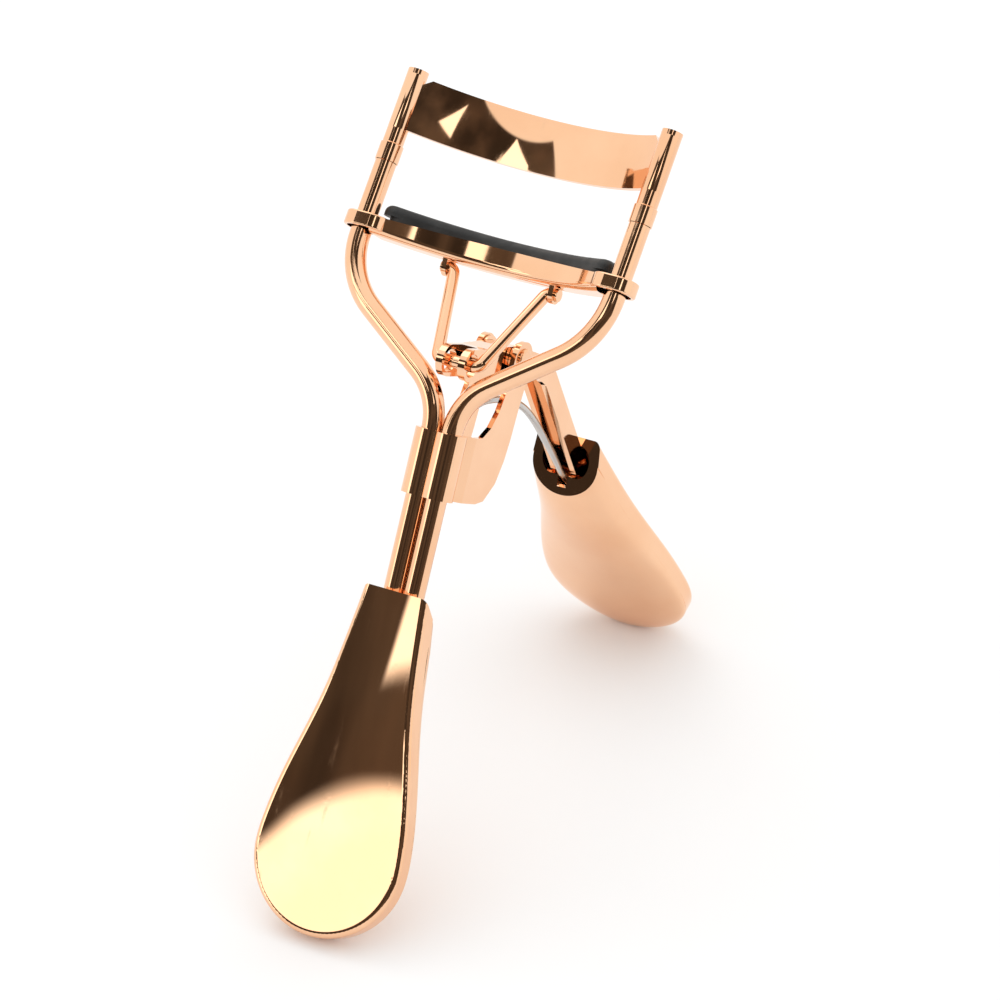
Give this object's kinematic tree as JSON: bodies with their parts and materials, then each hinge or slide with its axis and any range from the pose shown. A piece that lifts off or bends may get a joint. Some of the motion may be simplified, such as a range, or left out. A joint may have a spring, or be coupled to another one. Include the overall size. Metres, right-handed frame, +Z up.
{
  "type": "eyelash curler",
  "caption": "Hand tool with a curved pad that slides up two rods against a fixed curved bar when its two spoon-shaped handles are squeezed.",
  "frame": {"origin": "middle of the tool's outline on the surface that it stands on, halfway from the front of the jaws or front handle to the end of the rear handle", "axes": "+X across the jaws to the right as seen from the front, +Y from the front handle towards the rear handle, +Z up with the tool standing on the ends of both handles"},
  "size_m": [0.0376, 0.0756, 0.0795],
  "materials": {
    "rose_gold_plate": "polished rose gold plating on steel",
    "black_rubber": "satin silicone rubber",
    "spring_steel": "bright drawn spring wire"
  },
  "bodies": {
    "frame": {"frame_wire_left": "rose_gold_plate", "frame_wire_right": "rose_gold_plate", "upper_jaw": "rose_gold_plate", "pivot_bracket": "rose_gold_plate", "pivot_pin": "rose_gold_plate", "pivot_washer_left": "rose_gold_plate", "pivot_washer_right": "rose_gold_plate", "front_handle_outer": "rose_gold_plate", "front_handle_inner": "rose_gold_plate", "front_handle_pin": "rose_gold_plate", "return_spring": "spring_steel"},
    "lever": {"lever_channel": "rose_gold_plate", "rear_handle_outer": "rose_gold_plate", "rear_handle_inner": "rose_gold_plate", "rear_handle_pin": "rose_gold_plate"},
    "slider": {"lower_jaw": "rose_gold_plate", "jaw_pad": "black_rubber"},
    "link": {"link_wire": "rose_gold_plate"}
  },
  "joints": [
    {"name": "lever_pivot", "type": "hinge", "parent": "frame", "child": "lever", "pos_m": [0, 0.00975, 0.0517], "axis": [-1, 0, 0], "range_deg": [0, 44.5], "stiffness_Nm_per_rad": 0.035, "springref_deg": -20.05, "deforming": ["return_spring"]},
    {"name": "jaw_slide", "type": "slide", "parent": "frame", "child": "slider", "axis": [0, 0.7115, 0.7027], "range_m": [0, 0.00762]},
    {"name": "link_pivot", "type": "hinge", "parent": "slider", "child": "link", "pos_m": [0, 0.01013, 0.06107], "axis": [1, 0, 0], "range_deg": [-3.1, 0]}
  ],
  "couplings": [
    {"joint": "jaw_slide", "follows": "lever_pivot", "m_per_rad": 0.0098052},
    {"joint": "link_pivot", "follows": "lever_pivot", "ratio": -0.06935}
  ]
}
